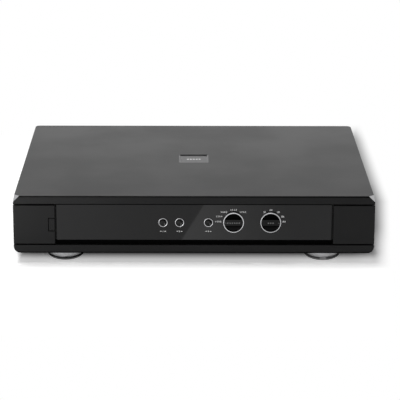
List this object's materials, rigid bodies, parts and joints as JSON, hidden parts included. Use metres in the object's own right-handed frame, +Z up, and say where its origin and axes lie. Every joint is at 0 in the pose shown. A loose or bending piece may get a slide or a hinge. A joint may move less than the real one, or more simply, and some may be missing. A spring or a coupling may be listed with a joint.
{
  "type": "phono preamp",
  "caption": "Low wide black metal phono preamp on round feet, with a gloss control panel, round push buttons, two stepped rotary knobs and a recessed top badge.",
  "frame": {"origin": "on the surface the feet rest on, below the middle of the whole object", "axes": "+Z up, front faces -Y, +X to the right of someone facing the front"},
  "size_m": [0.43, 0.361, 0.0824],
  "materials": {
    "black_case": "fine satin black anodised plate",
    "black_steel": "matt black painted sheet steel",
    "gloss_panel": "polished black acrylic with pale printing",
    "gloss_cap": "polished black moulding",
    "bright_trim": "bright turned metal",
    "badge_metal": "grey satin plate",
    "foot_metal": "pale satin turned metal",
    "foot_rubber": "smooth black rubber",
    "screw_steel": "blackened steel",
    "switch_plastic": "dark moulding",
    "steel_shaft": "turned steel",
    "circuit_board": "green lacquered laminate",
    "gold_contact": "gold plated brass",
    "socket_plastic": "white insulating moulding",
    "connector_black": "black moulding",
    "nickel": "nickel plate",
    "film_case": "red moulded case",
    "relay_case": "pale moulded case",
    "chip_case": "black moulded package",
    "capacitor_sleeve": "dark blue shrink sleeve",
    "sink_aluminium": "black anodised extrusion",
    "winding_tape": "lacquered copper winding under clear tape",
    "zinc_steel": "zinc plated steel",
    "fuse_glass": "clear tube",
    "lead_sleeve": "flexible insulation",
    "ribbon_sleeve": "grey flat cable"
  },
  "bodies": {
    "case": {"top_cover": "black_case", "top_badge": "badge_metal", "base_tray": "black_case", "side_rail_left": "black_case", "side_rail_right": "black_case", "end_block_left": "black_case", "end_block_right": "black_case", "front_subpanel": "black_steel", "front_panel": "gloss_panel", "rear_panel": "black_steel", "shield_plate": "zinc_steel", "case_screws": "screw_steel", "front_feet": "foot_metal", "rear_feet": "foot_metal", "foot_rings": "foot_rubber", "foot_screws": "screw_steel", "power_switch": "switch_plastic", "button_bezels": "bright_trim", "push_switches": "switch_plastic", "capacitance_switch": "zinc_steel", "load_switch": "zinc_steel", "control_board": "circuit_board", "phono_sockets": "gold_contact", "socket_insulators": "socket_plastic", "socket_nuts": "nickel", "balanced_sockets": "connector_black", "signal_contacts": "gold_contact", "ground_post": "nickel", "mains_inlet": "connector_black", "inlet_pins": "nickel", "main_board": "circuit_board", "supply_board": "circuit_board", "board_standoffs": "nickel", "op_amps": "chip_case", "relays": "relay_case", "signal_capacitors": "film_case", "smoothing_capacitors": "capacitor_sleeve", "heat_sink": "sink_aluminium", "regulators": "chip_case", "transformer": "winding_tape", "transformer_pad": "foot_rubber", "transformer_washer": "zinc_steel", "transformer_bolt": "zinc_steel", "mains_leads": "lead_sleeve", "ribbon_cable": "ribbon_sleeve"},
    "power_button": {"power_button": "black_case", "power_plunger": "switch_plastic"},
    "mono_button": {"mono_button": "gloss_cap"},
    "mute_button": {"mute_button": "gloss_cap"},
    "gain_button": {"gain_button": "gloss_cap"},
    "capacitance_knob": {"capacitance_knob": "gloss_cap", "capacitance_knob_ring": "bright_trim", "capacitance_shaft": "steel_shaft"},
    "load_knob": {"load_knob": "gloss_cap", "load_knob_ring": "bright_trim", "load_shaft": "steel_shaft"},
    "fuse_drawer": {"fuse_drawer": "connector_black", "fuse": "fuse_glass"},
    "ground_washer": {"ground_washer": "nickel"},
    "ground_nut": {"ground_nut": "nickel"}
  },
  "joints": [
    {"name": "power_button_press", "type": "slide", "parent": "case", "child": "power_button", "axis": [0, 1, 0], "range_m": [0, 0.003], "stiffness_N_per_m": 400},
    {"name": "mono_button_press", "type": "slide", "parent": "case", "child": "mono_button", "axis": [0, 1, 0], "range_m": [0, 0.0015], "stiffness_N_per_m": 400},
    {"name": "mute_button_press", "type": "slide", "parent": "case", "child": "mute_button", "axis": [0, 1, 0], "range_m": [0, 0.0015], "stiffness_N_per_m": 400},
    {"name": "gain_button_press", "type": "slide", "parent": "case", "child": "gain_button", "axis": [0, 1, 0], "range_m": [0, 0.0015], "stiffness_N_per_m": 400},
    {"name": "capacitance_knob_turn", "type": "hinge", "parent": "case", "child": "capacitance_knob", "pos_m": [0.04685, -0.1785, 0.0502], "axis": [0, 1, 0], "range_deg": [0, 120]},
    {"name": "load_knob_turn", "type": "hinge", "parent": "case", "child": "load_knob", "pos_m": [0.0911, -0.1785, 0.0502], "axis": [0, 1, 0], "range_deg": [-120, 0]},
    {"name": "fuse_drawer_pull", "type": "slide", "parent": "case", "child": "fuse_drawer", "axis": [0, 1, 0], "range_m": [0, 0.016]},
    {"name": "ground_washer_slide", "type": "slide", "parent": "case", "child": "ground_washer", "axis": [0, 1, 0], "range_m": [0, 0.002]},
    {"name": "ground_nut_turn", "type": "hinge", "parent": "ground_washer", "child": "ground_nut", "pos_m": [0.148, 0.1675, 0.0469], "axis": [0, 1, 0], "range_deg": [0, 725]}
  ],
  "couplings": [
    {"joint": "ground_nut_turn", "follows": "ground_washer_slide", "rad_per_m": 6283.2}
  ]
}
